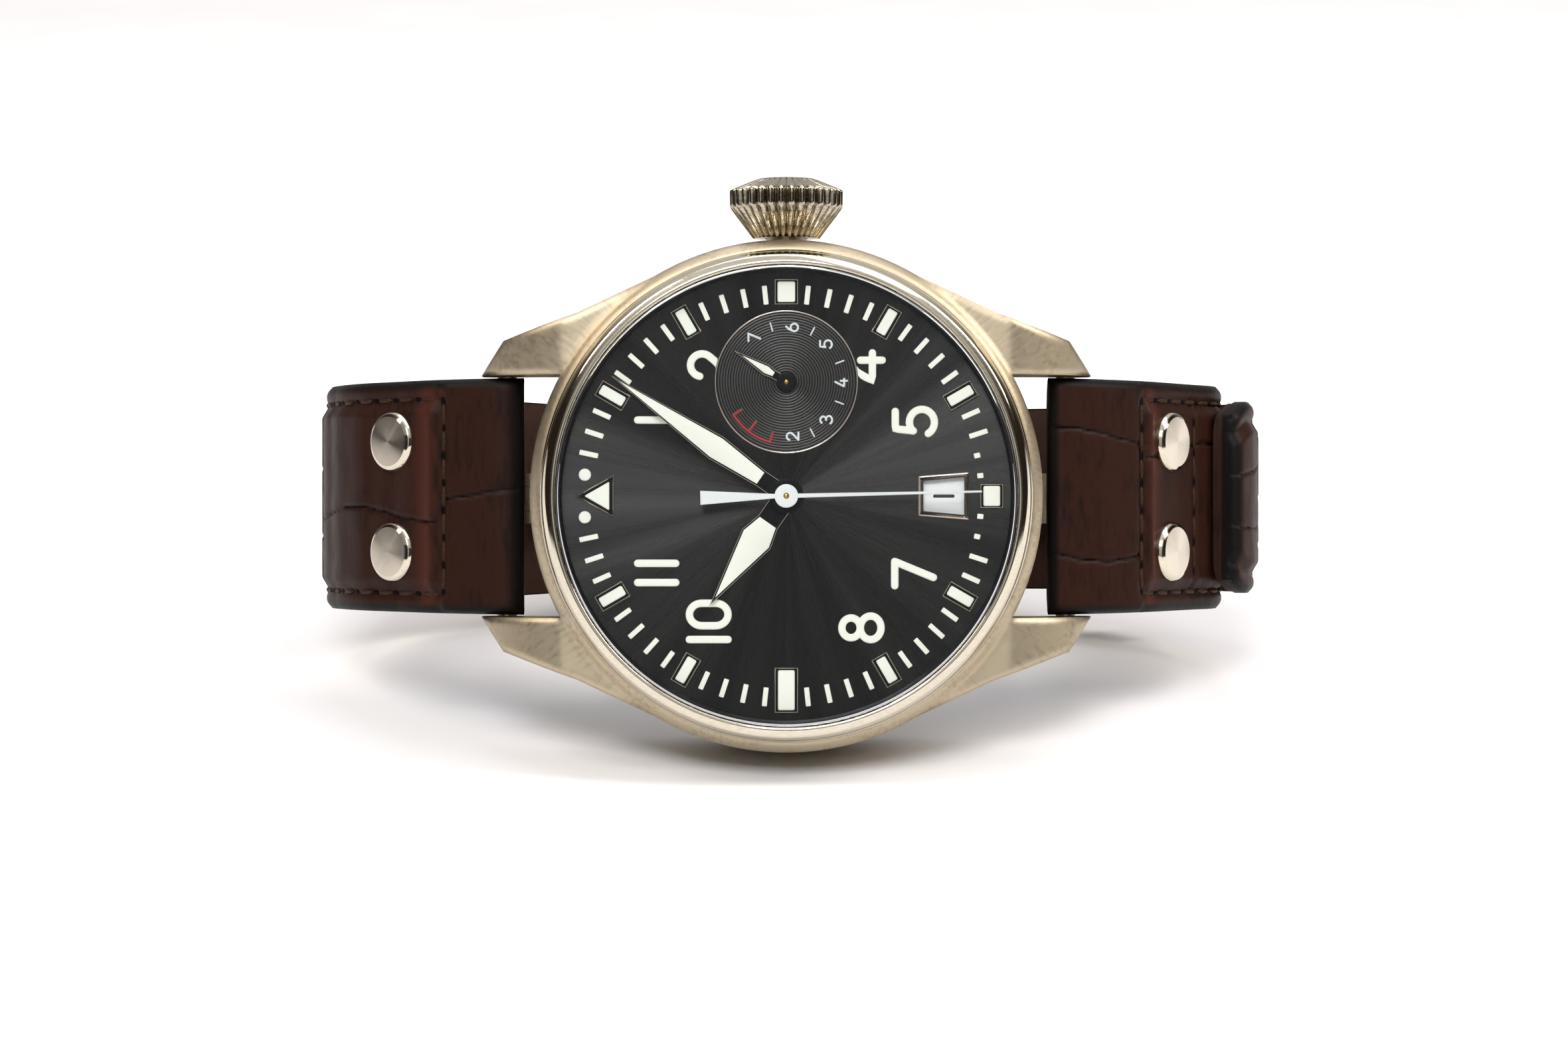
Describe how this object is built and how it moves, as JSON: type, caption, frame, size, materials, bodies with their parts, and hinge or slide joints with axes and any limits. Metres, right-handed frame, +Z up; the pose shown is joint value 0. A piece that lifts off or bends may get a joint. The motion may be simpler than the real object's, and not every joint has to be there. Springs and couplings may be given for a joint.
{
  "type": "pilot watch",
  "caption": "Large self-winding pilot wristwatch: round steel case with a big conical crown, dark dial with power reserve and date, closed riveted leather strap with folding clasp.",
  "frame": {"origin": "middle of the footprint at floor level, under the watch as it stands on its 9 o'clock flank", "axes": "+Z up; +X towards 6 o'clock along the strap; the dial faces -Y and is tilted back; the crown at 3 o'clock points up"},
  "size_m": [0.09, 0.062, 0.052],
  "materials": {
    "steel": "satin",
    "polished_steel": "polished",
    "sapphire": "polished",
    "gasket": "matte",
    "rehaut": "satin",
    "dial": "sunburst satin",
    "marker": "gloss",
    "lume": "matte",
    "white_lacquer": "gloss",
    "plated_brass": "nickel plated",
    "brass": "satin",
    "tungsten": "brushed",
    "alligator": "semi-gloss, scaled",
    "lining": "matte"
  },
  "bodies": {
    "case": {"case_middle": "steel", "bezel": "polished_steel", "crystal": "sapphire", "crystal_gasket": "gasket", "rehaut_ring": "rehaut", "case_back": "steel", "case_back_gasket": "gasket", "iron_cover": "steel", "movement_ring": "steel", "crown_tube": "steel", "dial": "dial", "date_window_frame": "polished_steel", "hour_marker_frames": "marker", "hour_marker_lume": "lume", "mainplate": "plated_brass", "train_bridge": "plated_brass", "balance_cock": "plated_brass", "bridge_screws": "steel", "rotor_bearing": "steel", "spring_bar_12": "steel", "spring_bar_6": "steel"},
    "winding": {"winding_pinion": "steel"},
    "crown": {"crown": "polished_steel", "winding_stem": "steel", "crown_gasket": "gasket"},
    "clutch": {"clutch_wheel": "steel"},
    "minute": {"minute_hand": "marker", "minute_hand_lume": "lume", "cannon_pinion": "brass"},
    "hour": {"hour_hand": "marker", "hour_hand_lume": "lume", "hour_wheel": "brass"},
    "minute_wheel": {"minute_wheel": "brass"},
    "seconds": {"seconds_hand": "white_lacquer", "fourth_wheel": "brass"},
    "third": {"third_wheel": "brass"},
    "barrel": {"barrel": "brass"},
    "escape": {"escape_wheel": "brass"},
    "pallet": {"pallet_fork": "steel"},
    "balance": {"balance_wheel": "brass", "hairspring": "steel"},
    "rotor": {"rotor": "tungsten"},
    "date": {"date_disc": "white_lacquer"},
    "reserve": {"reserve_hand": "marker", "reserve_hand_lume": "lume"},
    "strap_12": {"strap_12_leather": "alligator", "strap_12_lining": "lining", "rivets_12": "polished_steel", "clasp_cover": "steel", "buckle_pin": "steel"},
    "strap_6": {"strap_6_leather": "alligator", "strap_6_lining": "lining", "rivets_6": "polished_steel", "clasp_spring_bar": "steel"},
    "clasp_base": {"clasp_base_blade": "steel"},
    "clasp_middle": {"clasp_middle_blade": "steel", "clasp_hinge_pin": "steel"}
  },
  "joints": [
    {"name": "crown_turn", "type": "hinge", "parent": "case", "child": "winding", "pos_m": [-0.0003, -0.01496, 0.03533], "axis": [0, 0.2818, 0.9595], "continuous": true},
    {"name": "crown_pull", "type": "slide", "parent": "winding", "child": "crown", "axis": [0, 0.2818, 0.9595], "range_m": [0, 0.0015]},
    {"name": "clutch_shift", "type": "slide", "parent": "winding", "child": "clutch", "axis": [0, 0.2818, 0.9595], "range_m": [-0.0009, 0]},
    {"name": "minute_turn", "type": "hinge", "parent": "case", "child": "minute", "pos_m": [-0.0003, -0.02254, 0.02485], "axis": [0, 0.9595, -0.2818], "continuous": true},
    {"name": "hour_turn", "type": "hinge", "parent": "case", "child": "hour", "pos_m": [-0.0003, -0.02254, 0.02485], "axis": [0, 0.9595, -0.2818], "continuous": true},
    {"name": "minute_wheel_turn", "type": "hinge", "parent": "case", "child": "minute_wheel", "pos_m": [-0.0003, -0.02423, 0.01909], "axis": [0, 0.9595, -0.2818], "continuous": true},
    {"name": "seconds_turn", "type": "hinge", "parent": "case", "child": "seconds", "pos_m": [-0.0003, -0.02254, 0.02485], "axis": [0, 0.9595, -0.2818], "continuous": true},
    {"name": "third_turn", "type": "hinge", "parent": "case", "child": "third", "pos_m": [-0.00034, -0.02056, 0.01926], "axis": [0, 0.9595, -0.2818], "continuous": true},
    {"name": "barrel_turn", "type": "hinge", "parent": "case", "child": "barrel", "pos_m": [-0.00809, -0.01918, 0.02007], "axis": [0, 0.9595, -0.2818], "continuous": true},
    {"name": "escape_turn", "type": "hinge", "parent": "case", "child": "escape", "pos_m": [0.0045, -0.01868, 0.02371], "axis": [0, 0.9595, -0.2818], "continuous": true},
    {"name": "pallet_rock", "type": "hinge", "parent": "case", "child": "pallet", "pos_m": [0.00628, -0.01945, 0.02129], "axis": [0, 0.9595, -0.2818], "range_deg": [-5, 5]},
    {"name": "balance_swing", "type": "hinge", "parent": "case", "child": "balance", "pos_m": [0.00898, -0.02, 0.01744], "axis": [0, 0.9595, -0.2818], "range_deg": [-150, 150], "stiffness_Nm_per_rad": 0.00000018},
    {"name": "rotor_turn", "type": "hinge", "parent": "case", "child": "rotor", "pos_m": [-0.0003, -0.01518, 0.02268], "axis": [0, 0.9595, -0.2818], "continuous": true},
    {"name": "date_turn", "type": "hinge", "parent": "case", "child": "date", "pos_m": [-0.0003, -0.0214, 0.02451], "axis": [0, 0.9595, -0.2818], "continuous": true},
    {"name": "reserve_turn", "type": "hinge", "parent": "case", "child": "reserve", "pos_m": [-0.0003, -0.0193, 0.03459], "axis": [0, -0.9595, 0.2818], "range_deg": [-297, 18]},
    {"name": "strap_6_swing", "type": "hinge", "parent": "case", "child": "strap_6", "pos_m": [0.0253, -0.01513, 0.02267], "axis": [0, 0.2818, 0.9595], "range_deg": [0, 12]},
    {"name": "strap_12_swing", "type": "hinge", "parent": "case", "child": "strap_12", "pos_m": [-0.0259, -0.01513, 0.02267], "axis": [0, 0.2818, 0.9595], "range_deg": [0, 4.8]},
    {"name": "clasp_base_fold", "type": "hinge", "parent": "strap_6", "child": "clasp_base", "pos_m": [0.02995, 0.01453, 0.01396], "axis": [0, 0.2818, 0.9595], "range_deg": [0, 12]},
    {"name": "clasp_middle_fold", "type": "hinge", "parent": "clasp_base", "child": "clasp_middle", "pos_m": [-0.0254, 0.01668, 0.01333], "axis": [0, 0.2818, 0.9595], "range_deg": [0, 3]}
  ],
  "couplings": [
    {"joint": "clutch_shift", "follows": "crown_pull", "ratio": -0.6},
    {"joint": "hour_turn", "follows": "minute_turn", "ratio": 0.083333},
    {"joint": "minute_wheel_turn", "follows": "minute_turn", "ratio": -0.33333},
    {"joint": "third_turn", "follows": "seconds_turn", "ratio": -0.25},
    {"joint": "barrel_turn", "follows": "seconds_turn", "ratio": 0.041667},
    {"joint": "escape_turn", "follows": "seconds_turn", "ratio": -4},
    {"joint": "strap_12_swing", "follows": "strap_6_swing", "ratio": 0.4},
    {"joint": "clasp_middle_fold", "follows": "clasp_base_fold", "ratio": 0.25}
  ]
}
